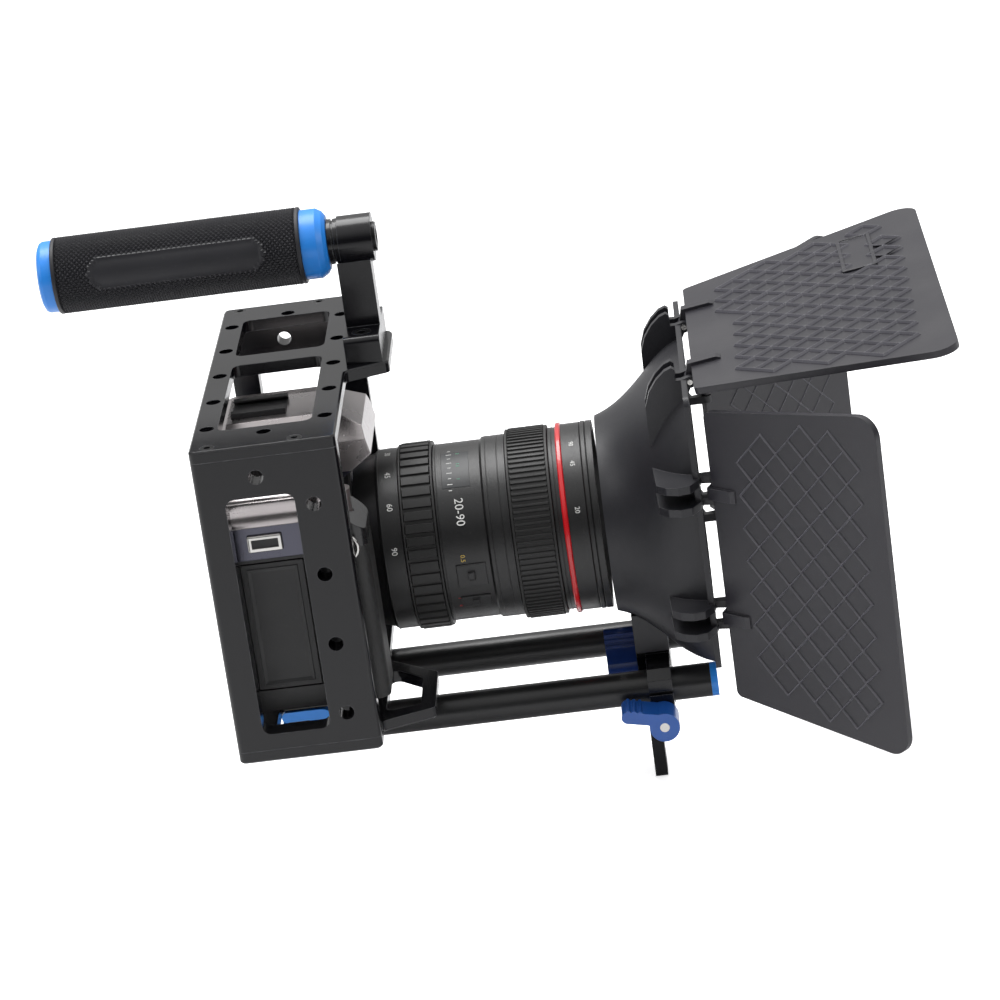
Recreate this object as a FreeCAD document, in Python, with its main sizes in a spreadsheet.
import FreeCAD, Part
import math
import os
import re

import Sketcher

Vector = FreeCAD.Vector

# Cinema camera rig: a boxed cage around a still camera with a zoom lens, a top handle, two 15 mm rods
# under the cage and a flagged matte box clamped to the rods in front of the lens.
# +X points forward along the rods, +Y to the operator's left, +Z up. The origin lies midway between the
# rods, level with their axes, under the cage's rear edge. Millimetres throughout.

SIZES = {
    # cage
    "cage_deep": 61.5, "cage_wide": 198.4, "cage_base": 15.6, "cage_tall": 141.6,
    "plate_wall": 5.2, "side_wall": 10, "plate_corner": 3, "window_corner": 4, "edge_break": 0.8,
    "rail_rear": 10.5, "rail_front": 11, "far_rail_end": 21, "near_rail_end": 24.5,
    "cross_low": 12.3, "cross_high": 25.6,
    "thread_bore": 3.2, "row_rear": 5.8, "row_front": 55.9, "row_pitch": 35.3,
    "side_window_rear": 12, "side_window_front": 41, "side_window_low": 28, "side_window_high": 134.5,
    "side_hole_front": 48.6, "side_hole_low": 33.8, "side_hole_pitch": 31.6,
    "side_hole_rear": 26.5, "side_hole_high": 143.2,
    "tongue_reach": 19, "tongue_flare": 7, "tongue_half": 22,
    "loop_reach": 22.5, "loop_bar": 6.5, "loop_near": 82, "loop_far": 14, "loop_corner_near": 73.5,
    "loop_corner_far": 34, "floor_window_inner": 46, "floor_window_outer": 84,
    "screw_head": 3.1, "screw_head_deep": 2.6, "screw_shank": 2, "screw_deep": 14, "screw_key": 1.4,
    "screw_rear": 7.8, "screw_front": 44.4,
    # top handle
    "post_side": 14.5, "post_rear": 62.2, "post_front": 78, "foot_half": 22.3, "foot_tall": 12.3,
    "column_half": 6.5, "column_inset": 1, "handle_high": 207.5, "head_round": 10.7, "head_front": 80.2,
    "head_rear": 65.3, "neck_long": 4.5, "core_round": 8, "grip_round": 17, "grip_rear": -59.6,
    "grip_front": 49.6, "cap_round": 15.7, "cap_rear_long": 6.4, "cap_front_long": 10.9,
    "bolt_round": 4, "bolt_head": 6.5, "bolt_head_deep": 1.4, "bolt_reach": 20, "foot_screw_off": 14.5,
    "foot_screw_head": 4.2, "foot_screw_shank": 2.5, "foot_screw_deep": 4,
    # rods and base clamp
    "rod_pitch": 60, "rod_round": 7.5, "rod_bore": 5.8, "rod_rear": 16, "rod_front": 202.4, "cap_wall": 3,
    "running": 0.05, "gap": 0.3,
    "base_rear": 16, "base_front": 46, "base_half": 40, "base_low": 10, "slit": 1.6, "base_axis": 31.5,
    "base_lever_high": 2.5, "base_hub": 5.2, "base_arm": 15, "base_arm_thick": 4.6,
    "stud_round": 2.1, "access_round": 10, "camera_axis": 30,
    # rod clamp of the matte box
    "clamp_rear": 174.8, "clamp_front": 185.3, "clamp_half": 39.5, "clamp_low": 16, "clamp_high": 20,
    "clamp_lever_low": 2.7, "hub_round": 6.6, "hub_long": 14, "arm_long": 16.5, "arm_thick": 6.2,
    "bar_rear": 172.2, "bar_wall": 5.6, "bar_half": 8, "bar_low": 54.3, "bar_high": 19.8,
    "bar_slot_low": 40, "bar_slot_high": 5, "height_axis_low": 2, "height_hub_long": 13.4,
    "bracket_rear": 170.8, "bracket_front": 185.6, "bracket_half": 22, "bracket_low": 12.8,
    # matte box
    "lens_high": 72.4, "hood_rear": 165.4, "hood_mouth": 43.5, "hood_wall": 1.8, "flare_one": 177.5,
    "flare_one_round": 49.3, "flare_two": 189, "flare_two_half": 57.5, "hood_front": 205.6,
    "hood_front_half": 66, "hood_floor": 51.7, "lip_wall": 2.4, "lip_half": 5, "lip_top": 6.1,
    "ear_tip": 2.5, "ear_wall": 3.4, "ear_gap": 6.4, "arm_play": 0.5, "arm_tip": 2.4, "pin_round": 1.2,
    "top_pivot_x": 209.4, "top_pivot_up": 4.6, "top_hinge_half": 38.5,
    "side_pivot_x": 215.3, "side_pivot_out": 0.6, "side_hinge_high": 29.6, "side_hinge_low": 27.4,
    "flag_wall": 3, "flag_start": 2.2, "flag_lift": 4, "rib_long": 13, "top_flag_long": 111,
    "top_flag_rear_half": 70.6, "top_flag_front_half": 107.9, "top_flag_tilt": 8.3,
    "side_flag_long": 93, "side_flag_rear_half": 64.8, "side_flag_front_half": 75.8,
    "side_flag_centre": 1.2, "side_flag_open": 43.2, "flag_corner": 9, "flag_corner_rear": 3,
    "ring_wall": 2.6, "ring_long": 5,
    # lens
    "mount_face": 57.5, "sleeve_round": 37, "sleeve_bore": 33, "cone_end": 67.7, "cone_round": 38.9,
    "scale_round": 40, "zoom_rear": 77.9, "zoom_front": 93, "zoom_round": 41.4, "mid_round": 39.2,
    "mid_step": 113.8, "mid_step_round": 40.2, "focus_rear": 125.2, "focus_front": 143.9,
    "focus_round": 42.3, "front_round": 41.4, "front_end": 158.2, "red_rear": 147.6, "red_front": 150,
    "red_round": 42.3, "filter_end": 163.6, "filter_round": 41.7, "glass_round": 36.5, "glass_rear": 151,
    "glass_crown": 6, "window_rear": 97, "window_front": 109, "window_half": 15,
    # camera
    "camera_rear": -1.5, "camera_front": 52, "camera_near": 83, "camera_far": 62, "camera_low": 31.7,
    "camera_split": 101, "deck_high": 128, "prism_high": 140, "prism_half": 26, "prism_top_half": 15,
    "prism_rear": 2, "nose_front": 68.5, "nose_low": 113, "camera_corner": 7, "grip_reach": 14.5,
    "grip_inner": 52, "mount_round": 33.5, "mount_boss": 36.5, "thumb_reach": 4, "riser_half": 21,
    "shoe_half": 10.5, "shoe_tall": 2.6, "shoe_rear": 9, "shoe_front": 33, "door_wall": 1.6,
    "door_rear": 12.5, "door_front": 38.5, "door_low": 42, "door_high": 99, "eyecup_half": 15,
    "eyecup_low": 107, "eyecup_high": 127, "eyecup_long": 8, "screen_half": 27, "screen_low": 46,
    "screen_high": 88, "screen_wall": 2, "button_round": 4.6, "button_tall": 3.4, "button_travel": 1.2,
    "button_x": 56.5, "button_y": 67, "dial_round": 6, "dial_half": 4.5, "dial_x": 45, "dial_proud": 2.6,
    "mode_round": 9.5, "mode_tall": 6, "mode_x": 22, "mode_y": 48, "ring_loop": 5.5, "ring_wire": 0.9,
    "lug_x": 57, "lug_z": 108,
}

doc = FreeCAD.newDocument("camera_rig")
sheet = doc.addObject("Spreadsheet::Sheet", "sizes")
for row, (alias, value) in enumerate(SIZES.items(), start=1):
    sheet.set(f"A{row}", alias)
    sheet.set(f"B{row}", str(value))
    sheet.setAlias(f"B{row}", alias)
doc.recompute()

nodes = []


def size(alias):
    """Value of one driving size, read back from the sheet."""
    return float(sheet.get(alias))


def link(text):
    """Point every size name in an expression at its cell."""
    return re.sub(r"[a-z]\w*", lambda word: "sizes." + word[0] if word[0] in SIZES else word[0], text)


def node(label, piece):
    """Give a finished sub-part its name."""
    piece.Label = label
    nodes.append(piece)
    return piece


# ---------------------------------------------------------------- Part primitives and booleans

TURNS = {
    "X": FreeCAD.Rotation(Vector(0, 1, 0), 90),
    "Y": FreeCAD.Rotation(Vector(1, 0, 0), -90),
    "Z": FreeCAD.Rotation(),
}


def place(piece, *spot):
    for axis, text in zip("xyz", spot):
        piece.setExpression("Placement.Base." + axis, link(text))


def block(x, y, z, name="block"):
    """Box between two expressions along each axis."""
    box = doc.addObject("Part::Box", name)
    for side, (low, high) in zip(("Length", "Width", "Height"), (x, y, z)):
        box.setExpression(side, link(f"({high}) - ({low})"))
    place(box, x[0], y[0], z[0])
    return box


def rod(axis, spot, radius, length, name="rod"):
    """Cylinder that starts at spot and runs along +axis."""
    piece = doc.addObject("Part::Cylinder", name)
    piece.Placement.Rotation = TURNS[axis]
    piece.setExpression("Radius", link(radius))
    piece.setExpression("Height", link(length))
    place(piece, *spot)
    return piece


def cone(axis, spot, radius_one, radius_two, length, name="cone"):
    piece = doc.addObject("Part::Cone", name)
    piece.Placement.Rotation = TURNS[axis]
    piece.setExpression("Radius1", link(radius_one))
    piece.setExpression("Radius2", link(radius_two))
    piece.setExpression("Height", link(length))
    place(piece, *spot)
    return piece


def fuse(*pieces, name="fuse"):
    if len(pieces) == 1:
        return pieces[0]
    whole = doc.addObject("Part::MultiFuse", name)
    whole.Shapes = list(pieces)
    whole.Refine = True
    return whole


def cut(base, *tools, name="cut"):
    rest = doc.addObject("Part::Cut", name)
    rest.Base = base
    rest.Tool = fuse(*tools)
    rest.Refine = True
    return rest


def common(*pieces, name="common"):
    shared = doc.addObject("Part::MultiCommon", name)
    shared.Shapes = list(pieces)
    return shared


def group(*pieces, name="group"):
    """Separate equal solids kept as one sub-part."""
    whole = doc.addObject("Part::Compound", name)
    whole.Links = list(pieces)
    return whole


def softened(base, radius, pick, name="softened"):
    """Fillet the edges of a Part object that pick chooses."""
    doc.recompute()
    piece = doc.addObject("Part::Fillet", name)
    piece.Base = base
    amount = size(radius)
    piece.Edges = [(i + 1, amount, amount) for i, edge in enumerate(base.Shape.Edges) if pick(edge)]
    return piece


# ---------------------------------------------------------------- PartDesign bodies

PLANES = {"XY": ("XY_Plane", 1), "XZ": ("XZ_Plane", -1), "YZ": ("YZ_Plane", 1)}


def body(name):
    return doc.addObject("PartDesign::Body", name)


def sketch(owner, plane, level):
    """Empty sketch on one of the body's origin planes, moved to a level along the plane's axis."""
    role, sense = PLANES[plane]
    drawing = owner.newObject("Sketcher::SketchObject", "sketch")
    drawing.AttachmentSupport = [(next(f for f in owner.Origin.OriginFeatures if f.Role == role), "")]
    drawing.MapMode = "FlatFace"
    drawing.setExpression("AttachmentOffset.Base.z", link(level if sense > 0 else f"-({level})"))
    return drawing


def hold(drawing, kind, shape, point, text, start):
    """Fix a point of a shape at a distance from the sketch's origin."""
    number = drawing.addConstraint(Sketcher.Constraint(kind, -1, 1, shape, point, start))
    drawing.setExpression(f"Constraints[{number}]", link(text))


def polygon(drawing, points):
    """Closed outline whose corners are pairs of expressions."""
    count = len(points)
    first = drawing.GeometryCount
    turn = 2 * math.pi / count
    spots = [Vector(10 * math.cos(turn * i), 10 * math.sin(turn * i), 0) for i in range(count)]
    for i in range(count):
        drawing.addGeometry(Part.LineSegment(spots[i], spots[(i + 1) % count]))
    for i in range(count):
        following = first + (i + 1) % count
        drawing.addConstraint(Sketcher.Constraint("Coincident", first + i, 2, following, 1))
    for i, (across, up) in enumerate(points):
        hold(drawing, "DistanceX", first + i, 1, across, spots[i].x)
        hold(drawing, "DistanceY", first + i, 1, up, spots[i].y)


def circle(drawing, across, up, radius):
    shape = drawing.addGeometry(Part.Circle(Vector(1, 1, 0), Vector(0, 0, 1), 2))
    hold(drawing, "DistanceX", shape, 3, across, 1)
    hold(drawing, "DistanceY", shape, 3, up, 1)
    number = drawing.addConstraint(Sketcher.Constraint("Radius", shape, 2.0))
    drawing.setExpression(f"Constraints[{number}]", link(radius))


def draw(owner, plane, level, outlines, circles):
    drawing = sketch(owner, plane, level)
    for points in outlines:
        polygon(drawing, points)
    for spot in circles:
        circle(drawing, *spot)
    return drawing


def pad(owner, plane, low, high, outlines=(), circles=()):
    """Add material between two levels along the plane's axis."""
    start = low if PLANES[plane][1] > 0 else high
    drawing = draw(owner, plane, start, outlines, circles)
    feature = owner.newObject("PartDesign::Pad", "pad")
    feature.Profile = drawing
    feature.setExpression("Length", link(f"({high}) - ({low})"))
    return feature


def pocket(owner, plane, low, high, outlines=(), circles=()):
    """Remove material between two levels, and check that some went."""
    doc.recompute()
    before = owner.Shape.Volume
    start = high if PLANES[plane][1] > 0 else low
    drawing = draw(owner, plane, start, outlines, circles)
    feature = owner.newObject("PartDesign::Pocket", "pocket")
    feature.Profile = drawing
    feature.setExpression("Length", link(f"({high}) - ({low})"))
    doc.recompute()
    if not owner.Shape.Volume < before - 0.01:
        raise RuntimeError(f"{owner.Label}: a pocket cut nothing")
    return feature


def revolve(owner, outline):
    """Turn an outline of (x, radius) corners about the X axis."""
    drawing = draw(owner, "XZ", "0", [outline], ())
    feature = owner.newObject("PartDesign::Revolution", "revolution")
    feature.Profile = drawing
    feature.ReferenceAxis = (drawing, ["H_Axis"])
    feature.Angle = 360
    return feature


def dress(owner, kind, amount, pick):
    """Fillet or chamfer the body's edges that pick chooses."""
    doc.recompute()
    tip = owner.Tip
    chosen = [f"Edge{i + 1}" for i, edge in enumerate(tip.Shape.Edges) if pick(edge)]
    feature = owner.newObject("PartDesign::" + kind, kind.lower())
    feature.Base = (tip, chosen)
    feature.setExpression("Radius" if kind == "Fillet" else "Size", link(amount))
    doc.recompute()
    return feature


def runs_along(edge, axis):
    """True for a straight edge parallel to an axis."""
    box = edge.BoundBox
    spans = {"X": box.XLength, "Y": box.YLength, "Z": box.ZLength}
    return all((span > 1e-6) == (name == axis) for name, span in spans.items())


def centre(edge):
    return edge.BoundBox.Center


def rectangle(across, up):
    """Corners of a rectangle between two pairs of expressions."""
    return [(across[0], up[0]), (across[1], up[0]), (across[1], up[1]), (across[0], up[1])]


# ---------------------------------------------------------------- cage

CAGE_TOP = "cage_base + cage_tall"
TOP_UNDER = "cage_base + cage_tall - plate_wall"
FLOOR = "cage_base + plate_wall"
HALF = "cage_wide / 2"
SIDE_MID = "cage_wide / 2 - 4.5"
SCREW_SPOTS = [(x, f"{sign}({SIDE_MID})") for x in ("screw_rear", "screw_front") for sign in ("", "-")]
POST = "post_side"


def plate_holes(owner, low, high):
    """Screw holes and accessory threads through a horizontal cage plate."""
    threads = [(x, f"{n} * row_pitch", "thread_bore")
               for x in ("row_rear", "row_front") for n in range(-2, 3)]
    threads += [("cage_deep / 2", f"{sign}(cage_wide / 2 - 16.8)", "thread_bore") for sign in ("", "-")]
    threads += [(x, y, "screw_shank") for x, y in SCREW_SPOTS]
    pocket(owner, "XY", low, high, circles=threads)


top = body("top")
pad(top, "XY", TOP_UNDER, CAGE_TOP, [[
    ("0", "-" + HALF), ("cage_deep", "-" + HALF),
    ("cage_deep", f"{POST} - tongue_half - tongue_flare"),
    ("cage_deep + tongue_reach", f"{POST} - tongue_half"),
    ("cage_deep + tongue_reach", f"{POST} + tongue_half"),
    ("cage_deep", f"{POST} + tongue_half + tongue_flare"),
    ("cage_deep", HALF), ("0", HALF),
]])
dress(top, "Fillet", "plate_corner", lambda edge: runs_along(edge, "Z"))
dress(top, "Chamfer", "edge_break",
      lambda edge: centre(edge).z > size("cage_base") + size("cage_tall") - 0.01)
ACROSS = ("rail_rear", "cage_deep - rail_front")
pocket(top, "XY", TOP_UNDER, CAGE_TOP, [
    rectangle(ACROSS, (f"near_rail_end - {HALF}", "cross_low")),
    rectangle(ACROSS, ("cross_high", f"{HALF} - far_rail_end")),
])
dress(top, "Fillet", "window_corner", lambda edge: runs_along(edge, "Z") and 10 < centre(edge).x < 51)
plate_holes(top, TOP_UNDER, CAGE_TOP)
pocket(top, "XY", f"{CAGE_TOP} - screw_head_deep", CAGE_TOP,
       circles=[(x, y, "screw_head") for x, y in SCREW_SPOTS])
FOOT_MID = "(post_rear + post_front) / 2"
FOOT_SCREWS = [(FOOT_MID, f"{POST} {sign} foot_screw_off") for sign in "+-"]
pocket(top, "XY", TOP_UNDER, CAGE_TOP, circles=[(x, y, "foot_screw_shank") for x, y in FOOT_SCREWS])
node("cage_top_plate", top)

bottom = body("bottom")
pad(bottom, "XY", "cage_base", FLOOR, [[
    ("0", "-" + HALF), ("cage_deep", "-" + HALF), ("cage_deep", "-loop_near"),
    ("cage_deep + loop_reach", "-loop_corner_near"), ("cage_deep + loop_reach", "-loop_corner_far"),
    ("cage_deep", "-loop_far"), ("cage_deep", HALF), ("0", HALF),
]])
dress(bottom, "Fillet", "plate_corner", lambda edge: runs_along(edge, "Z"))
dress(bottom, "Chamfer", "edge_break", lambda edge: centre(edge).z < size("cage_base") + 0.01)
pocket(bottom, "XY", "cage_base", FLOOR, [
    [("cage_deep + 1", "1.5 * loop_bar - loop_near"),
     ("cage_deep + loop_reach - loop_bar", "0.8 * loop_bar - loop_corner_near"),
     ("cage_deep + loop_reach - loop_bar", "-0.8 * loop_bar - loop_corner_far"),
     ("cage_deep + 1", "-1.5 * loop_bar - loop_far")],
    rectangle(("base_rear - 1", "base_front"), ("floor_window_inner", "floor_window_outer")),
    rectangle(("base_rear - 1", "base_front"), ("-floor_window_outer", "-floor_window_inner")),
])
dress(bottom, "Fillet", "plate_corner",
      lambda edge: runs_along(edge, "Z") and (8 < centre(edge).x < 50 or 62 < centre(edge).x < 79))
plate_holes(bottom, "cage_base", FLOOR)
pocket(bottom, "XY", "cage_base", "cage_base + screw_head_deep",
       circles=[(x, y, "screw_head") for x, y in SCREW_SPOTS])
CAMERA_SCREW = ("camera_axis", "0")
BASE_BOLTS = [(f"base_rear + {x}", f"{sign}18") for x in ("5", "25") for sign in ("", "-")]
pocket(bottom, "XY", "cage_base", FLOOR,
       circles=[CAMERA_SCREW + ("thread_bore + gap",)] + [(x, y, "foot_screw_shank") for x, y in BASE_BOLTS])
node("cage_bottom_plate", bottom)

for label, sign in (("cage_side_plate_right", "-"), ("cage_side_plate_left", "")):
    side = body("side")
    inner, outer = f"{HALF} - side_wall", HALF
    low, high = (inner, outer) if sign == "" else (f"-({outer})", f"-({inner})")
    pad(side, "XZ", low, high, [rectangle(("0", "cage_deep"), (FLOOR, TOP_UNDER))])
    dress(side, "Fillet", "plate_corner",
          lambda edge: runs_along(edge, "Z") and abs(centre(edge).y) > size("cage_wide") / 2 - 0.1)
    pocket(side, "XZ", low, high,
           [rectangle(("side_window_rear", "side_window_front"), ("side_window_low", "side_window_high"))])
    dress(side, "Fillet", "window_corner", lambda edge: runs_along(edge, "Y") and 11 < centre(edge).x < 42)
    ring = [("side_hole_front", f"side_hole_low + {n} * side_hole_pitch", "thread_bore") for n in range(4)]
    ring += [("side_hole_rear", "side_hole_high", "thread_bore")]
    pocket(side, "XZ", low, high, circles=ring)
    ends = [(x, y, "screw_shank") for x, y in SCREW_SPOTS if y.startswith("-") == (sign == "-")]
    pocket(side, "XY", FLOOR, f"{FLOOR} + screw_deep - plate_wall", circles=ends)
    pocket(side, "XY", f"{TOP_UNDER} - screw_deep + plate_wall", TOP_UNDER, circles=ends)
    node(label, side)


def socket_screw(axis, spot, reach, head, head_deep, shank, sense="+"):
    """Cap screw whose head's outer face is at spot and whose shank runs along the axis."""
    x, y, z = spot
    back = {"+": "", "-": f" - ({head_deep})"}[sense]
    far = {"+": "", "-": f" - ({reach})"}[sense]
    key_far = {"+": "", "-": f" - ({head_deep}) * 0.6"}[sense]
    index = "XYZ".index(axis)

    def moved(offset):
        return tuple(f"({text}){offset}" if i == index else text for i, text in enumerate((x, y, z)))

    body_part = fuse(rod(axis, moved(back), head, head_deep), rod(axis, moved(far), shank, reach))
    return cut(body_part, rod(axis, moved(key_far), f"({head}) * 0.48", f"({head_deep}) * 0.6"))


node("cage_screws", group(*[
    socket_screw("Z", (x, y, level), "screw_deep", "screw_head", "screw_head_deep", "screw_shank", sense)
    for x, y in SCREW_SPOTS
    for level, sense in ((CAGE_TOP, "-"), ("cage_base", "+"))
]))


# ---------------------------------------------------------------- top handle

post = body("post")
FOOT_TOP = f"{CAGE_TOP} + foot_tall"
pad(post, "XY", CAGE_TOP, FOOT_TOP, [
    rectangle(("post_rear", "post_front"), (f"{POST} - foot_half", f"{POST} + foot_half"))])
dress(post, "Fillet", "plate_corner",
      lambda edge: runs_along(edge, "X") and centre(edge).z > size("cage_tall") + 20)
pad(post, "XY", f"{FOOT_TOP} - 4", "handle_high - 4", [rectangle(
    ("post_rear + column_inset", "post_front"), (f"{POST} - column_half", f"{POST} + column_half"))])
pad(post, "YZ", "head_rear", "head_front", circles=[(POST, "handle_high", "head_round")])
pocket(post, "YZ", "head_rear", "head_front", circles=[(POST, "handle_high", "bolt_round")])
pocket(post, "YZ", "post_rear", "head_rear", circles=[(POST, "handle_high", "head_round")])
pocket(post, "XY", CAGE_TOP, FOOT_TOP, circles=[(x, y, "foot_screw_shank") for x, y in FOOT_SCREWS])
pocket(post, "XY", f"{FOOT_TOP} - foot_screw_deep", FOOT_TOP,
       circles=[(x, y, "foot_screw_head") for x, y in FOOT_SCREWS])
node("handle_post", post)
node("handle_foot_screws", group(*[
    socket_screw("Z", (x, y, FOOT_TOP), "foot_tall + plate_wall", "foot_screw_head", "foot_screw_deep",
                 "foot_screw_shank", "-")
    for x, y in FOOT_SCREWS
]))


def turned(label, outline, side="0", height="0"):
    """Sub-part turned about an axis along X at a given side and height."""
    piece = body("turned")
    revolve(piece, outline)
    place(piece, "0", side, height)
    return node(label, piece)


NECK_REAR = "head_rear - neck_long"
turned("handle_spindle", [
    ("grip_rear - cap_rear_long / 2", "0"), ("grip_rear - cap_rear_long / 2", "core_round"),
    (NECK_REAR, "core_round"), (NECK_REAR, "head_round - 0.8"),
    ("head_rear - neck_long * 0.6", "head_round - 0.8"), ("head_rear - neck_long * 0.6", "head_round - 1.6"),
    ("head_rear - neck_long * 0.4", "head_round - 1.6"), ("head_rear - neck_long * 0.4", "head_round - 0.8"),
    ("head_rear", "head_round - 0.8"), ("head_rear", "bolt_round"),
    ("head_front - bolt_reach", "bolt_round"), ("head_front - bolt_reach", "0"),
], POST, "handle_high")
turned("handle_grip", [
    ("grip_rear", "core_round"), ("grip_front", "core_round"), ("grip_front", "grip_round - 1.6"),
    ("grip_front - 0.5", "grip_round - 0.5"), ("grip_front - 1.6", "grip_round"),
    ("grip_rear + 1.6", "grip_round"), ("grip_rear + 0.5", "grip_round - 0.5"),
    ("grip_rear", "grip_round - 1.6"),
], POST, "handle_high")
turned("handle_cap_rear", [
    ("grip_rear - cap_rear_long", "0"), ("grip_rear - cap_rear_long", "cap_round - 2.4"),
    ("grip_rear - cap_rear_long + 0.9", "cap_round - 0.6"), ("grip_rear - cap_rear_long + 2.2", "cap_round"),
    ("grip_rear", "cap_round"), ("grip_rear", "core_round"),
    ("grip_rear - cap_rear_long / 2", "core_round"), ("grip_rear - cap_rear_long / 2", "0"),
], POST, "handle_high")
turned("handle_cap_front", [
    ("grip_front", "core_round"), ("grip_front", "cap_round - 0.4"),
    ("grip_front + cap_front_long - 4", "cap_round - 0.4"),
    ("grip_front + cap_front_long - 1.4", "cap_round - 2"),
    ("grip_front + cap_front_long", "cap_round - 4"), ("grip_front + cap_front_long", "core_round"),
], POST, "handle_high")
node("handle_bolt", cut(
    fuse(rod("X", ("head_front - bolt_reach", POST, "handle_high"), "bolt_round", "bolt_reach"),
         rod("X", ("head_front", POST, "handle_high"), "bolt_head", "bolt_head_deep")),
    rod("X", ("head_front + bolt_head_deep / 2", POST, "handle_high"), "bolt_head * 0.5", "bolt_head_deep")))


# ---------------------------------------------------------------- rods and base clamp

ROD_SIDES = {"rod_right": "-rod_pitch / 2", "rod_left": "rod_pitch / 2"}
for label, side in ROD_SIDES.items():
    spot = ("rod_rear", side, "0")
    tube = cut(rod("X", spot, "rod_round", "rod_front - rod_rear"),
               rod("X", spot, "rod_bore", "rod_front - rod_rear"))
    node(label, tube)
caps = []
for side in ROD_SIDES.values():
    for start, plug in (("rod_front", "rod_front - 2 * cap_wall"), ("rod_rear - cap_wall", "rod_rear")):
        caps.append(fuse(rod("X", (start, side, "0"), "rod_round", "cap_wall"),
                         rod("X", (plug, side, "0"), "rod_bore", "2 * cap_wall")))
node("rod_end_caps", group(*caps))

base = body("base")
pad(base, "YZ", "base_rear", "base_front", [[
    ("-base_half", "-base_low + 4"), ("-base_half + 4", "-base_low"), ("base_half - 4", "-base_low"),
    ("base_half", "-base_low + 4"), ("base_half", "cage_base"), ("-base_half", "cage_base"),
]])
pocket(base, "YZ", "base_rear", "base_front",
       circles=[(side, "0", "rod_round") for side in ROD_SIDES.values()])
pocket(base, "YZ", "base_rear", "base_front", [
    rectangle(("-base_half", "-rod_pitch / 2 - rod_round + 1"), ("-slit / 2", "slit / 2")),
    rectangle(("rod_pitch / 2 + rod_round - 1", "base_half"), ("-slit / 2", "slit / 2")),
])
pocket(base, "XY", "-base_low", "cage_base", circles=[CAMERA_SCREW + ("access_round",)])
pocket(base, "XY", "-base_low", "cage_base", circles=[(x, y, "foot_screw_shank") for x, y in BASE_BOLTS])
pocket(base, "XY", "-base_low", "-base_low + foot_screw_deep",
       circles=[(x, y, "foot_screw_head") for x, y in BASE_BOLTS])
LEVER_HIGH = "rod_round + base_lever_high"
STUD_BORE = ("base_axis", LEVER_HIGH, "stud_round + running")
pocket(base, "XZ", "-base_half", "-rod_pitch / 2", circles=[STUD_BORE])
pocket(base, "XZ", "rod_pitch / 2", "base_half", circles=[STUD_BORE])
node("base_clamp_block", base)
node("base_bolts", group(*[
    socket_screw("Z", (x, y, "-base_low"), "base_low + cage_base + plate_wall", "foot_screw_head",
                 "foot_screw_deep", "foot_screw_shank")
    for x, y in BASE_BOLTS
]))
for label, stud_label, sign in (("base_lever_right", "base_stud_right", -1),
                                ("base_lever_left", "base_stud_left", 1)):
    start, stud_start = {-1: ("-base_half - gap - hub_long / 2", "-base_half - gap - 3"),
                         1: ("base_half + gap", "rod_pitch / 2 + gap")}[sign]
    stud_long = "base_half - rod_pitch / 2 + 3"
    hub = rod("Y", ("base_axis", start, LEVER_HIGH), "base_hub", "hub_long / 2")
    arm = block(("base_axis - base_arm", "base_axis"), (start, f"{start} + hub_long / 2"),
                (f"{LEVER_HIGH} + base_hub - base_arm_thick", f"{LEVER_HIGH} + base_hub"))
    tail = rod("Y", ("base_axis - base_arm", start, f"{LEVER_HIGH} + base_hub - base_arm_thick / 2"),
               "base_arm_thick / 2", "hub_long / 2")
    stud = rod("Y", ("base_axis", stud_start, LEVER_HIGH), "stud_round", stud_long)
    socket = rod("Y", ("base_axis", stud_start, LEVER_HIGH), "stud_round", stud_long)
    node(label, cut(fuse(hub, arm, tail), socket))
    node(stud_label, stud)

riser = body("riser")
pad(riser, "XY", FLOOR, "camera_low", [
    rectangle(("camera_axis - riser_half", "camera_axis + riser_half"), ("-riser_half", "riser_half"))])
dress(riser, "Fillet", "plate_corner", lambda edge: runs_along(edge, "Z"))
pocket(riser, "XY", FLOOR, "camera_low", circles=[CAMERA_SCREW + ("thread_bore + running",)])
pocket(riser, "XY", FLOOR, f"{FLOOR} + 1", circles=[(x, y, "foot_screw_shank + gap") for x, y in BASE_BOLTS])
node("riser_pad", riser)
SCREW_TIP = "camera_low + 6"
node("camera_screw", fuse(
    rod("Z", CAMERA_SCREW + ("cage_base - gap - 7",), "access_round - gap", "7"),
    rod("Z", CAMERA_SCREW + ("cage_base - gap - 7",), "thread_bore", f"{SCREW_TIP} - cage_base + gap + 7")))


# ---------------------------------------------------------------- rod clamp of the matte box

CLAMP_BORE = [(side, "0", "rod_round + running") for side in ROD_SIDES.values()]
HEIGHT_STUD = ("0", "-height_axis_low", "stud_round + running")
clamp = body("clamp")
pad(clamp, "YZ", "clamp_rear", "clamp_front", [[
    ("-clamp_half", "-clamp_low + 4"), ("-clamp_half + 4", "-clamp_low"), ("clamp_half - 4", "-clamp_low"),
    ("clamp_half", "-clamp_low + 4"), ("clamp_half", "6"), ("clamp_half - 4", "10.2"),
    ("-clamp_half + 4", "10.2"), ("-clamp_half", "6"),
]])
pad(clamp, "YZ", "bracket_rear", "clamp_front + gap",
    [rectangle(("-18", "18"), ("-clamp_low + 2", "bracket_low - 0.8"))])
pocket(clamp, "YZ", "bracket_rear", "clamp_front + gap", circles=CLAMP_BORE)
pocket(clamp, "YZ", "clamp_rear", "clamp_front", [
    rectangle(("-clamp_half", "-rod_pitch / 2 - rod_round + 1"), ("-slit / 2", "slit / 2"))])
pocket(clamp, "XY", "-clamp_low", "bracket_low", [
    rectangle(("bar_rear - gap", "bar_rear + bar_wall + gap"), ("-bar_half - gap", "bar_half + gap"))])
pocket(clamp, "YZ", "bracket_rear", "clamp_front - 3", circles=[HEIGHT_STUD])
CLAMP_LEVER = "-rod_round - clamp_lever_low"
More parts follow.
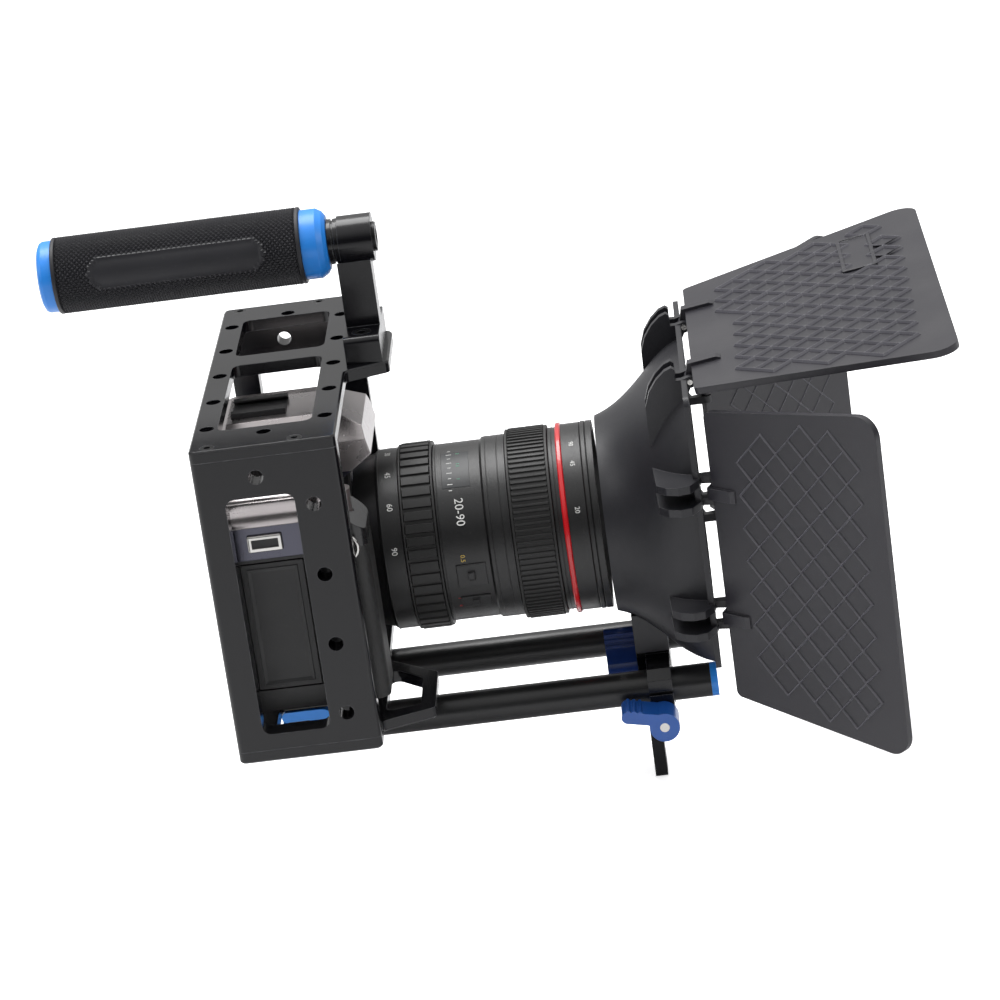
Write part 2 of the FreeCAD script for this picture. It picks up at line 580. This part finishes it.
ROD_STUD = ("(clamp_rear + clamp_front) / 2", CLAMP_LEVER, "stud_round + running")
pocket(clamp, "XZ", "-clamp_half", "-rod_pitch / 2 + 8", circles=[ROD_STUD])
node("rod_clamp_block", clamp)


def ridged_lever(axis, hub_spot, hub_high, arm_turn, name):
    """Hub with an arm, three finger ridges across the arm's end. Built along X and -Y, then turned."""
    hub = rod("Y", ("0", "0", "0"), "hub_round", hub_high)
    arm = block(("-arm_long", "0"), ("0", hub_high), ("0.4", "arm_thick - 0.4"))
    tip = rod("Y", ("-arm_long", "0", "arm_thick / 2"), "arm_thick / 2 - 0.4", hub_high)
    ridges = [rod("Y", (f"-arm_long + {2.6 * n}", "0", "arm_thick - 0.6"), "0.9", hub_high)
              for n in range(3)]
    whole = fuse(hub, arm, tip, *ridges, name=name)
    bore = rod("Y", ("0", "0", "0"), "stud_round", hub_high)
    lever = cut(whole, bore)
    turn = FreeCAD.Rotation(Vector(0, 1, 0), arm_turn)
    upright = FreeCAD.Rotation(Vector(0, 0, 1), -90) if axis == "X" else FreeCAD.Rotation()
    lever.Placement.Rotation = upright * turn
    place(lever, *hub_spot)
    return lever


CLAMP_MID = "(clamp_rear + clamp_front) / 2"
node("rod_lever",
     ridged_lever("Y", (CLAMP_MID, "-clamp_half - gap - hub_long", CLAMP_LEVER), "hub_long", 12,
                               "rod_lever_shape"))
node("rod_lever_stud",
     rod("Y", (CLAMP_MID, "-clamp_half - gap - hub_long", CLAMP_LEVER), "stud_round",
                           "hub_long + gap + clamp_half - rod_pitch / 2 + 7"))
HEIGHT_HUB = "bracket_rear - gap - height_hub_long"
node("height_lever", ridged_lever("X", (HEIGHT_HUB, "0", "-height_axis_low"), "height_hub_long", 80,
                                  "height_lever_shape"))
node("height_lever_stud", rod("X", (HEIGHT_HUB, "0", "-height_axis_low"), "stud_round",
                              "clamp_front - 4 - bracket_rear + gap + height_hub_long"))

bar = body("bar")
pad(bar, "YZ", "bar_rear", "bar_rear + bar_wall",
    [rectangle(("-bar_half", "bar_half"), ("-bar_low", "bar_high"))])
dress(bar, "Fillet", "plate_corner",
      lambda edge: runs_along(edge, "X") and centre(edge).z < 0)
pocket(bar, "YZ", "bar_rear", "bar_rear + bar_wall", [
    rectangle(("-stud_round - gap", "stud_round + gap"), ("-bar_slot_low", "bar_slot_high"))])
node("matte_box_post", bar)


# ---------------------------------------------------------------- matte box

# Where the funnel's sections lie, their half width, and how square they are (2 is a circle).
SECTIONS = [
    ("hood_rear", "hood_mouth", 2.0), ("flare_one", "flare_one_round", 2.1),
    ("flare_two", "flare_two_half", 2.6), ("hood_front", "hood_front_half", 4.6),
]


def section(x, half, squareness, points=40):
    """Closed smooth curve between a circle and a rounded square, round the lens axis."""
    spots = []
    for i in range(points):
        turn = 2 * math.pi * (i + 0.5) / points
        spread = abs(math.cos(turn)) ** squareness + abs(math.sin(turn)) ** squareness
        reach = half / spread ** (1 / squareness)
        spots.append(Vector(x, reach * math.cos(turn), size("lens_high") + reach * math.sin(turn)))
    curve = Part.BSplineCurve()
    curve.interpolate(Points=spots, PeriodicFlag=True)
    return Part.Wire(curve.toShape())


def funnel(shrink, extra):
    """Solid of the funnel, drawn in by shrink, carried past its mouths by extra, flat underneath."""
    stations = [(size(x), size(half) - shrink, square) for x, half, square in SECTIONS]
    flare = Part.makeLoft([section(*station) for station in stations], True, False)
    pieces = [flare]
    for (x, half, square), step in ((stations[0], -extra), (stations[-1], extra)):
        if extra:
            face = Part.Face(section(x, half, square))
            pieces.append(face.extrude(Vector(step, 0, 0)))
    solid = pieces[0].multiFuse(pieces[1:]) if extra else flare
    reach = 4 * size("hood_front_half")
    floor = size("lens_high") - size("hood_floor") + shrink
    keep = Part.makeBox(reach, reach, reach, Vector(size("hood_rear") - reach / 4, -reach / 2, floor))
    return solid.common(keep)


def shaped(name, shape):
    piece = doc.addObject("Part::Feature", name)
    piece.Shape = shape
    return piece


hood_outer = shaped("hood_outer", funnel(0, 0))
hood_inner = shaped("hood_inner", funnel(size("hood_wall"), 10))

FLOOR_LINE = "lens_high - hood_floor"
LIP = ("hood_front", "hood_front + lip_wall")
PIVOT_OUT = "(hood_front_half + side_pivot_out)"
TOP_PIVOT = ("top_pivot_x", "lens_high + hood_front_half + top_pivot_up")
EAR_OFF = "(ear_gap / 2)"

LIP_TOP = "lens_high + hood_front_half + lip_top"
LIP_SIDES = ("-hood_front_half - lip_half", "hood_front_half + lip_half")
lip = softened(block(LIP, LIP_SIDES, (FLOOR_LINE, LIP_TOP)), "window_corner",
               lambda edge: runs_along(edge, "X"))


def ear(plane, level, points, tip):
    """Hinge plate of the hood: an outline and a round tip about the pin."""
    plate = body("ear")
    pad(plate, plane, level, f"{level} + ear_wall", [points])
    pad(plate, plane, level, f"{level} + ear_wall", circles=[tip + ("ear_tip",)])
    return plate


PIVOT_X, PIVOT_Z = TOP_PIVOT
ears = []
for middle in ("-top_hinge_half", "top_hinge_half"):
    for level in (f"{middle} - {EAR_OFF} - ear_wall", f"{middle} + {EAR_OFF}"):
        ears.append(ear("XZ", level, [
            ("flare_two", "lens_high + 44"), ("flare_two + 0.3", "lens_high + 61.6"),
            ("flare_two + 2.4", "lens_high + 68"), ("flare_two + 6", "lens_high + 73.2"),
            ("flare_two + 10", "lens_high + 76.8"), ("flare_two + 13", "lens_high + 78"),
            ("flare_two + 14.4", "lens_high + hood_front_half + 11"), ("flare_two + 14.4", LIP_TOP),
            ("hood_front", LIP_TOP),
            (PIVOT_X, f"{PIVOT_Z} + ear_tip"), (PIVOT_X, f"{PIVOT_Z} - ear_tip"),
            ("hood_front + 0.5", "lens_high + 62"), ("flare_two + 6", "lens_high + 46"),
        ], TOP_PIVOT))
SIDE_LEVELS = ("lens_high + side_hinge_high", "lens_high - side_hinge_low")
for sign in ("-", ""):
    for middle in SIDE_LEVELS:
        for level in (f"{middle} - {EAR_OFF} - ear_wall", f"{middle} + {EAR_OFF}"):
            ears.append(ear("XY", level, [(x, f"{sign}({y})") for x, y in (
                ("flare_two", "flare_two_half - 8"), ("flare_two + 1", "hood_front_half + 7"),
                ("flare_two + 5", "hood_front_half + 11.6"), ("flare_two + 10", "hood_front_half + 13.6"),
                ("flare_two + 15", "hood_front_half + 12.6"), ("hood_front + lip_wall", "hood_front_half + 6"),
                ("hood_front + lip_wall + 1", f"{PIVOT_OUT} + 1"),
                ("side_pivot_x", f"{PIVOT_OUT} + ear_tip"), ("side_pivot_x", f"{PIVOT_OUT} - ear_tip"),
                ("hood_front + 0.5", "hood_front_half - 6"),
            )], ("side_pivot_x", f"{sign}{PIVOT_OUT}")))
# Clearance round each flag's hinge arm, cut through the lip and the ears' roots.
notches = []
for middle in ("-top_hinge_half", "top_hinge_half"):
    notches.append(block(("hood_front - 1", PIVOT_X), (f"{middle} - {EAR_OFF}", f"{middle} + {EAR_OFF}"),
                         (f"{PIVOT_Z} - arm_tip - 2 * gap", f"{PIVOT_Z} + 9")))
pin_bores = [rod("Y", (PIVOT_X, f"{middle} - {EAR_OFF} - ear_wall", PIVOT_Z), "pin_round",
                 "2 * ear_wall + ear_gap")
             for middle in ("-top_hinge_half", "top_hinge_half")]
pin_bores += [rod("Z", ("side_pivot_x", f"{sign}{PIVOT_OUT}", f"{middle} - {EAR_OFF} - ear_wall"),
                  "pin_round",
                  "2 * ear_wall + ear_gap") for sign in ("-", "") for middle in SIDE_LEVELS]
node("matte_box_hood", cut(fuse(hood_outer, lip, *ears), hood_inner, *notches, *pin_bores))


def hinge_pins(label, axis, spots):
    node(label, group(*[rod(axis, spot, "pin_round", "2 * ear_wall + ear_gap") for spot in spots]))


hinge_pins("top_flag_pins", "Y", [(PIVOT_X, f"{middle} - {EAR_OFF} - ear_wall", PIVOT_Z)
                                  for middle in ("-top_hinge_half", "top_hinge_half")])
for label, sign in (("right_flag_pins", "-"), ("left_flag_pins", "")):
    hinge_pins(label, "Z", [("side_pivot_x", f"{sign}{PIVOT_OUT}", f"{middle} - {EAR_OFF} - ear_wall")
                            for middle in SIDE_LEVELS])

ADAPTER_ROUND = "hood_mouth - hood_wall"
turned("lens_adapter_ring", [
    ("hood_rear", f"{ADAPTER_ROUND} - ring_wall"), ("hood_rear", ADAPTER_ROUND),
    ("hood_rear + ring_long", ADAPTER_ROUND), ("hood_rear + ring_long", f"{ADAPTER_ROUND} - ring_wall"),
], "0", "lens_high")

bracket = body("bracket")
pad(bracket, "YZ", "bracket_rear", "bracket_front", [[
    ("-bracket_half", "bracket_low"), ("bracket_half", "bracket_low"), ("bracket_half", "bracket_low + 18"),
    ("-bracket_half", "bracket_low + 18"),
]])
pocket(bracket, "XY", "bracket_low", "bar_high", [
    rectangle(("bar_rear", "bar_rear + bar_wall"), ("-bar_half", "bar_half"))])
BRACKET_SCREWS = [("bracket_rear", f"{sign}14", "bracket_low + 4.5") for sign in ("-", "")]
pocket(bracket, "YZ", "bracket_rear", "bracket_rear + screw_deep - 2",
       circles=[(y, z, "screw_shank") for x, y, z in BRACKET_SCREWS])
pocket(bracket, "YZ", "bracket_rear", "bracket_rear + screw_head_deep",
       circles=[(y, z, "screw_head") for x, y, z in BRACKET_SCREWS])
node("matte_box_bracket", cut(bracket, hood_outer))
node("bracket_screws", group(*[
    socket_screw("X", spot, "screw_deep - 2", "screw_head", "screw_head_deep", "screw_shank")
    for spot in BRACKET_SCREWS
]))


def flag(label, length, rear_half, front_half, arms, centre_shift):
    """Flag plate with hinge arms, drawn lying along X with its pin at the origin."""
    plate = body("flag")
    under, over = "flag_lift - flag_wall / 2", "flag_lift + flag_wall / 2"
    near, far = f"{centre_shift} - ", f"{centre_shift} + "
    pad(plate, "XY", under, over, [[
        ("flag_start", near + rear_half), (f"flag_start + {length}", near + front_half),
        (f"flag_start + {length}", far + front_half), ("flag_start", far + rear_half),
    ]])
    reach = size("flag_start") + 0.5 * size(length)
    dress(plate, "Fillet", "flag_corner", lambda edge: runs_along(edge, "Z") and centre(edge).x > reach)
    dress(plate, "Fillet", "flag_corner_rear",
          lambda edge: runs_along(edge, "Z") and centre(edge).x < reach / 2)
    for middle in arms:
        low, high = f"{middle} - ear_gap / 2 + arm_play", f"{middle} + ear_gap / 2 - arm_play"
        pad(plate, "XZ", low, high, [[
            ("-arm_tip * 0.5", "arm_tip * 0.8"), ("arm_tip * 0.6", "-arm_tip * 0.7"),
            ("flag_start + rib_long", f"{under} + 0.1"), ("flag_start + rib_long", f"{over} + 0.6"),
            ("flag_start + rib_long - 2", f"{over} + 1.6"), ("flag_start - 1.5", f"{over} + 1.6"),
        ]])
        pad(plate, "XZ", low, high, circles=[("0", "0", "arm_tip")])
        pocket(plate, "XZ", low, high, circles=[("0", "0", "pin_round + running")])
    return node(label, plate)


top_flag = flag("top_flag", "top_flag_long", "top_flag_rear_half", "top_flag_front_half",
                ("-top_hinge_half", "top_hinge_half"), "0")
place(top_flag, PIVOT_X, "0", PIVOT_Z)
top_flag.Placement.Rotation = FreeCAD.Rotation(Vector(0, -1, 0), size("top_flag_tilt"))

LEVELS = ("side_hinge_high", "-side_hinge_low")
for label, sign in (("side_flag_right", -1), ("side_flag_left", 1)):
    arms = LEVELS if sign < 0 else ("-side_hinge_high", "side_hinge_low")
    shift = "side_flag_centre" if sign < 0 else "-side_flag_centre"
    side_flag = flag(label, "side_flag_long", "side_flag_rear_half", "side_flag_front_half", arms, shift)
    # Stand the plate up: its own Z turns outward, its own Y turns to the rig's up or down.
    stand = FreeCAD.Rotation(Vector(1, 0, 0), -90 * sign)
    swing = FreeCAD.Rotation(Vector(0, 0, 1), sign * size("side_flag_open"))
    place(side_flag, "side_pivot_x", f"{sign} * {PIVOT_OUT}", "lens_high")
    side_flag.Placement.Rotation = swing * stand


# ---------------------------------------------------------------- lens

RING_BORE = "sleeve_round + running"
turned("lens_rear_barrel", [
    ("mount_face", "sleeve_bore"), ("mount_face", "cone_round - 3.3"), ("cone_end", "cone_round"),
    ("cone_end", "scale_round - 0.8"), ("cone_end + 1", "scale_round"), ("zoom_rear - gap", "scale_round"),
    ("zoom_rear - gap", "sleeve_round"), ("red_rear", "sleeve_round"), ("red_rear", "sleeve_bore"),
], "0", "lens_high")
turned("zoom_ring", [
    ("zoom_rear", RING_BORE), ("zoom_rear", "zoom_round - 1"), ("zoom_rear + 1", "zoom_round"),
    ("zoom_front - 1", "zoom_round"), ("zoom_front", "zoom_round - 1"), ("zoom_front", RING_BORE),
], "0", "lens_high")
MID = ("zoom_front + gap", "focus_rear - gap")
middle = body("middle")
revolve(middle, [
    (MID[0], "sleeve_round"), (MID[0], "mid_round"), ("mid_step", "mid_round"),
    ("mid_step + 1", "mid_step_round"), (MID[1], "mid_step_round"), (MID[1], "sleeve_round"),
])
place(middle, "0", "0", "lens_high")
WINDOW_TURN = 25


def window_slab(grow, name):
    """Block over the distance window, turned towards the right side about the lens axis."""
    half, deep = f"(window_half + {grow})", "(sleeve_round + 0.6)"
    slab = block((f"window_rear - {grow}", f"window_front + {grow}"), ("0", f"2 * {half}"), ("0", "6"), name)
    slab.Placement.Rotation = FreeCAD.Rotation(Vector(1, 0, 0), WINDOW_TURN)
    place(slab, f"window_rear - {grow}", f"-{half} * cos({WINDOW_TURN}) - {deep} * sin({WINDOW_TURN})",
          f"lens_high - {half} * sin({WINDOW_TURN}) + {deep} * cos({WINDOW_TURN})")
    return slab


node("lens_middle_barrel", cut(middle, window_slab(0, "window_space")))
glass_band = cut(rod("X", ("window_rear", "0", "lens_high"), "mid_round", "window_front - window_rear"),
                 rod("X", ("window_rear", "0", "lens_high"), "sleeve_round", "window_front - window_rear"))
node("distance_window", common(glass_band, window_slab(0, "window_pane")))
turned("focus_ring", [
    ("focus_rear", RING_BORE), ("focus_rear", "focus_round - 0.8"), ("focus_rear + 0.8", "focus_round"),
    ("focus_front - 0.8", "focus_round"), ("focus_front", "focus_round - 0.8"), ("focus_front", RING_BORE),
], "0", "lens_high")
turned("lens_front_barrel", [
    ("focus_front + gap", "sleeve_round"), ("focus_front + gap", "front_round - 1"),
    ("red_rear", "front_round - 1"), ("red_front", "front_round - 1"), ("red_front", "front_round"),
    ("front_end", "front_round"), ("front_end", "sleeve_round"),
], "0", "lens_high")
turned("lens_red_ring", [
    ("red_rear", "front_round - 1"), ("red_rear", "red_round - 0.5"), ("red_rear + 0.5", "red_round"),
    ("red_front - 0.5", "red_round"), ("red_front", "red_round - 0.5"), ("red_front", "front_round - 1"),
], "0", "lens_high")
turned("filter_ring", [
    ("front_end", "sleeve_round"), ("front_end", "filter_round - 0.6"), ("front_end + 0.6", "filter_round"),
    ("front_end + 2.2", "filter_round"), ("front_end + 2.5", "filter_round - 0.5"),
    ("front_end + 2.8", "filter_round"), ("filter_end", "filter_round"), ("filter_end", "sleeve_round + 1.5"),
], "0", "lens_high")
GLASS_BALL = "((sleeve_round ^ 2 + glass_crown ^ 2) / (2 * glass_crown))"
ball = doc.addObject("Part::Sphere", "ball")
ball.setExpression("Radius", link(GLASS_BALL))
place(ball, f"glass_rear + 1.5 + glass_crown - {GLASS_BALL}", "0", "lens_high")
node("front_element", common(
    ball, rod("X", ("glass_rear", "0", "lens_high"), "sleeve_round", "glass_crown + 1.5")))


# ---------------------------------------------------------------- camera

NEAR = "-camera_near"
BODY_OUTLINE = rectangle(("camera_rear", "camera_front"), (NEAR, "camera_far"))
DOOR = (("door_rear", "door_front"), ("door_low", "door_high"))
lower = body("lower")
pad(lower, "XY", "camera_low", "camera_split", [BODY_OUTLINE])
dress(lower, "Fillet", "camera_corner", lambda edge: runs_along(edge, "Z"))
pad(lower, "YZ", "camera_front - 4", "mount_face - 1.5", circles=[("0", "lens_high", "mount_boss")])
pocket(lower, "XZ", NEAR, f"{NEAR} + door_wall + gap", [
    rectangle(("door_rear - 2.2", "door_front + 0.6"), ("door_low - 0.6", "door_high + 0.6"))])
pocket(lower, "YZ", "camera_rear", "camera_rear + screen_wall", [
    rectangle(("-screen_half", "screen_half"), ("screen_low", "screen_high"))])
pocket(lower, "XY", "camera_low", "camera_low + 9", circles=[CAMERA_SCREW + ("thread_bore + running",)])
node("camera_body", lower)

upper = body("upper")
pad(upper, "XY", "camera_split", "deck_high", [BODY_OUTLINE])
dress(upper, "Fillet", "camera_corner", lambda edge: runs_along(edge, "Z"))
dress(upper, "Fillet", "camera_corner / 2",
      lambda edge: centre(edge).z > size("deck_high") - 0.01 and not runs_along(edge, "Y"))
pad(upper, "XZ", "-prism_half", "prism_half", [[
    ("prism_rear", "deck_high - 5"), ("camera_front - 3", "deck_high - 5"), ("camera_front - 3", "nose_low"),
    ("nose_front - 13", "nose_low"), ("nose_front", "nose_low + 9"), ("nose_front - 2.5", "prism_high - 6"),
    ("nose_front - 14", "prism_high"), ("prism_rear + 5", "prism_high"),
]])
for sign in ("", "-"):
    pocket(upper, "YZ", "prism_rear - 1", "nose_front + 1", [[
        (f"{sign}(prism_half + 1)", "deck_high"), (f"{sign}(prism_top_half)", "prism_high + 1"),
        (f"{sign}(prism_half + 1)", "prism_high + 1")]])
pad(upper, "XY", "camera_split", "deck_high - 9", [
    rectangle(("camera_front - 6", "camera_front + grip_reach"), (NEAR, "-grip_inner"))])
pocket(upper, "XZ", f"{NEAR} - 1", "-grip_inner", [[
    ("camera_front + 1", "deck_high - 8.9"), ("camera_front + grip_reach + 1", "deck_high - 8.9"),
    ("camera_front + grip_reach + 1", "camera_split + 6")]])
dress(upper, "Fillet", "camera_corner * 0.8",
      lambda edge: runs_along(edge, "Z") and centre(edge).x > size("camera_front") + 10
      and centre(edge).y < -size("grip_inner") + 1)
pocket(upper, "YZ", "camera_front - 4", "mount_face", circles=[("0", "lens_high", "mount_boss")])
BUTTON = ("button_x", "-button_y")
pocket(upper, "XY", "camera_split + 8", "deck_high", circles=[BUTTON + ("button_round + gap",)])
DIAL_SLOT = (("dial_x - dial_round - gap", "dial_x + dial_round + gap"),
             ("-button_y - dial_half - gap", "dial_half + gap - button_y"))
pocket(upper, "XY", "deck_high + dial_proud - 2 * dial_round - gap - 0.4", "deck_high",
       [rectangle(*DIAL_SLOT)])
MODE = ("mode_x", "-mode_y")
pocket(upper, "XY", "deck_high - 6", "deck_high", circles=[MODE + ("stud_round + running",)])
pocket(upper, "YZ", "camera_rear", "camera_rear + 3", [
    rectangle(("3 - eyecup_half", "eyecup_half - 3"), ("eyecup_low + 3", "eyecup_high - 3"))])

grip = body("grip")
pad(grip, "XY", "camera_low", "camera_split", [
    rectangle(("camera_front", "camera_front + grip_reach"), (NEAR, "-grip_inner"))])
dress(grip, "Fillet", "camera_corner * 0.8",
      lambda edge: runs_along(edge, "Z") and centre(edge).x > size("camera_front") + 10)
node("camera_grip", grip)

door = block(DOOR[0], (NEAR, f"{NEAR} + door_wall"), DOOR[1])
knuckle = rod("Z", ("door_rear", f"{NEAR} + door_wall / 2", "door_low"), "door_wall / 2",
              "door_high - door_low")
node("card_door", fuse(door, knuckle))
node("lens_mount_ring", cut(rod("X", ("mount_face - 1.5", "0", "lens_high"), "mount_round", "1.5"),
                            rod("X", ("mount_face - 1.5", "0", "lens_high"), "sleeve_bore - 5", "1.5")))

shoe = body("shoe")
pad(shoe, "YZ", "shoe_rear", "shoe_front", [[
    ("-shoe_half", "prism_high"), ("shoe_half", "prism_high"), ("shoe_half", "prism_high + shoe_tall"),
    ("shoe_half - 4", "prism_high + shoe_tall"), ("shoe_half - 4", "prism_high + shoe_tall - 0.8"),
    ("shoe_half - 1.5", "prism_high + shoe_tall - 0.8"), ("shoe_half - 1.5", "prism_high + 0.6"),
    ("1.5 - shoe_half", "prism_high + 0.6"), ("1.5 - shoe_half", "prism_high + shoe_tall - 0.8"),
    ("4 - shoe_half", "prism_high + shoe_tall - 0.8"), ("4 - shoe_half", "prism_high + shoe_tall"),
    ("-shoe_half", "prism_high + shoe_tall"),
]])
node("hot_shoe", shoe)

node("shutter_button", rod("Z", BUTTON + ("camera_split + 8 + gap + button_travel",), "button_round",
                           "button_tall + 9"))
node("main_dial", rod("Y", ("dial_x", "-button_y - dial_half", "deck_high + dial_proud - dial_round"),
                      "dial_round", "2 * dial_half"))
node("mode_dial", fuse(rod("Z", MODE + ("deck_high + gap",), "mode_round", "mode_tall"),
                       rod("Z", MODE + ("deck_high - 5.5",), "stud_round", "6")))

cup = body("cup")
CUP = ("camera_rear - eyecup_long", "camera_rear")
pad(cup, "YZ", CUP[0], CUP[1], [rectangle(("-eyecup_half", "eyecup_half"), ("eyecup_low", "eyecup_high"))])
dress(cup, "Fillet", "window_corner", lambda edge: runs_along(edge, "X"))
pocket(cup, "YZ", CUP[0], CUP[1], [
    rectangle(("4 - eyecup_half", "eyecup_half - 4"), ("eyecup_low + 4", "eyecup_high - 4"))])
node("eyecup", cup)

node("rear_screen", block(("camera_rear - 0.8", "camera_rear + screen_wall"), ("-screen_half", "screen_half"),
                          ("screen_low", "screen_high")))

LUG_SIDE = "-camera_near - 2.6"
RING_MID = "lug_z - ring_loop"
ring = doc.addObject("Part::Torus", "ring")
ring.Placement.Rotation = TURNS["Y"]
ring.setExpression("Radius1", link("ring_loop"))
ring.setExpression("Radius2", link("ring_wire"))
place(ring, "lug_x", LUG_SIDE, RING_MID)
node("strap_ring", ring)
lug = cut(block(("lug_x - 1.4", "lug_x + 1.4"), (f"{LUG_SIDE} - 2.2", NEAR), ("lug_z - 2.4", "lug_z + 2.4")),
          rod("X", ("lug_x - 1.4", LUG_SIDE, "lug_z"), "ring_wire + gap", "2.8"))
node("camera_top_cover", fuse(upper, lug))


# ---------------------------------------------------------------- check and write

doc.recompute()
for piece in doc.Objects:
    if "Invalid" in piece.State or "Error" in piece.State:
        raise RuntimeError(f"{piece.Label}: {piece.State}")
for piece in nodes:
    if piece.Shape.isNull() or not piece.Shape.isValid() or not piece.Shape.Solids:
        raise RuntimeError(f"{piece.Label}: bad shape")

os.makedirs("parts", exist_ok=True)
for piece in nodes:
    piece.Shape.exportStep(f"parts/{piece.Label}.step")
